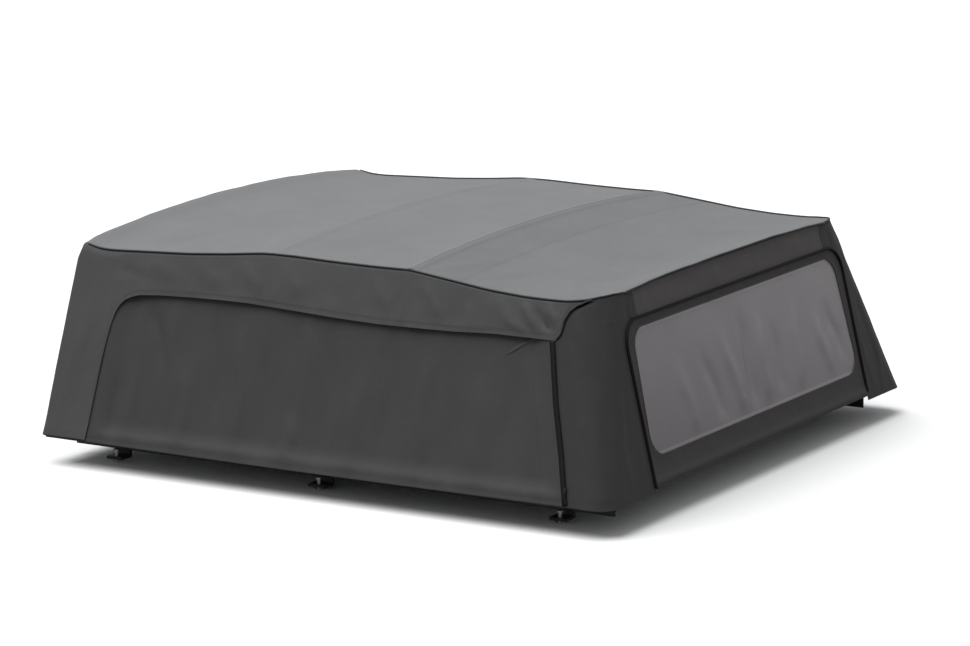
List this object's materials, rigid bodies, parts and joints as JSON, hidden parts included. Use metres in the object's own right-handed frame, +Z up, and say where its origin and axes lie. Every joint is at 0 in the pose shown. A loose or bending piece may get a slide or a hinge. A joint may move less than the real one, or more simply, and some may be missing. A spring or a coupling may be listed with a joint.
{
  "type": "soft folding pickup bed canopy",
  "caption": "Soft cloth canopy on folding hoops that clamps to the side rails of a pickup bed, with clear windows and a rear curtain that swings up.",
  "frame": {"origin": "on the floor, under the middle of the base", "axes": "X right, Y forward to the cab, Z up; mirror plane X = 0"},
  "size_m": [1.5318, 1.5532, 0.566],
  "materials": {
    "roof_cloth": "woven",
    "side_cloth": "woven",
    "clear_sheet": "tinted",
    "rail_aluminium": "satin",
    "hoop_steel": "satin",
    "screw_steel": "zinc plated",
    "seal_rubber": "matt"
  },
  "bodies": {
    "base": {"side_rail_left": "rail_aluminium", "side_rail_right": "rail_aluminium", "front_rail": "rail_aluminium", "side_seal_left": "seal_rubber", "side_seal_right": "seal_rubber", "front_seal": "seal_rubber", "clamps_left": "rail_aluminium", "clamps_right": "rail_aluminium", "clamp_screws_left": "screw_steel", "clamp_screws_right": "screw_steel", "flange_screws_left": "screw_steel", "flange_screws_right": "screw_steel", "front_hoop": "hoop_steel", "front_foot_left": "hoop_steel", "front_foot_right": "hoop_steel", "foot_screws_left": "screw_steel", "foot_screws_right": "screw_steel", "pivot_bracket_left": "hoop_steel", "pivot_bracket_right": "hoop_steel", "pivot_bolt_left": "screw_steel", "pivot_bolt_right": "screw_steel", "bracket_screws_left": "screw_steel", "bracket_screws_right": "screw_steel", "saddle_left": "hoop_steel", "saddle_right": "hoop_steel", "valance_left": "side_cloth", "valance_right": "side_cloth", "side_panel_left": "side_cloth", "side_panel_right": "side_cloth", "deck_front": "roof_cloth", "front_curtain": "side_cloth", "front_window": "clear_sheet"},
    "front_bay": {"middle_hoop_front": "hoop_steel", "middle_hoop_front_feet": "hoop_steel", "deck_middle": "roof_cloth"},
    "middle_bay": {"middle_hoop_rear": "hoop_steel", "middle_hoop_rear_feet": "hoop_steel", "deck_rear": "roof_cloth"},
    "rear_bow": {"rear_hoop": "hoop_steel", "rear_hoop_feet": "hoop_steel", "header_clips": "hoop_steel", "rear_band": "side_cloth"},
    "drop_support": {"drop_frame": "hoop_steel", "strut_feet": "hoop_steel", "rear_corner_left": "side_cloth", "rear_corner_right": "side_cloth"},
    "curtain": {"rear_curtain": "side_cloth", "rear_window": "clear_sheet", "tail_bar": "hoop_steel"}
  },
  "joints": [
    {"name": "top_fold", "type": "hinge", "parent": "base", "child": "front_bay", "pos_m": [0, -0.08, 0.128], "axis": [-1, 0, 0], "range_deg": [0, 49.9], "deforming": ["deck_front", "valance_left", "valance_right", "side_panel_left", "side_panel_right"]},
    {"name": "rear_middle_hoop_turn", "type": "hinge", "parent": "front_bay", "child": "middle_bay", "pos_m": [0, -0.08, 0.128], "axis": [-1, 0, 0], "range_deg": [0, 45.7], "deforming": ["deck_middle"]},
    {"name": "rear_hoop_turn", "type": "hinge", "parent": "middle_bay", "child": "rear_bow", "pos_m": [0, -0.08, 0.128], "axis": [-1, 0, 0], "range_deg": [0, 40.9], "deforming": ["deck_rear"]},
    {"name": "drop_frame_turn", "type": "hinge", "parent": "rear_bow", "child": "drop_support", "pos_m": [0, -0.67012, 0.468], "axis": [1, 0, 0], "range_deg": [0, 66], "deforming": ["rear_corner_left", "rear_corner_right"]},
    {"name": "curtain_lift", "type": "hinge", "parent": "drop_support", "child": "curtain", "pos_m": [0, -0.67012, 0.468], "axis": [-1, 0, 0], "range_deg": [0, 100], "deforming": ["rear_band"]}
  ],
  "couplings": [
    {"joint": "rear_middle_hoop_turn", "follows": "top_fold", "ratio": 0.91583},
    {"joint": "rear_hoop_turn", "follows": "top_fold", "ratio": 0.81964},
    {"joint": "drop_frame_turn", "follows": "top_fold", "ratio": 1.3226}
  ]
}
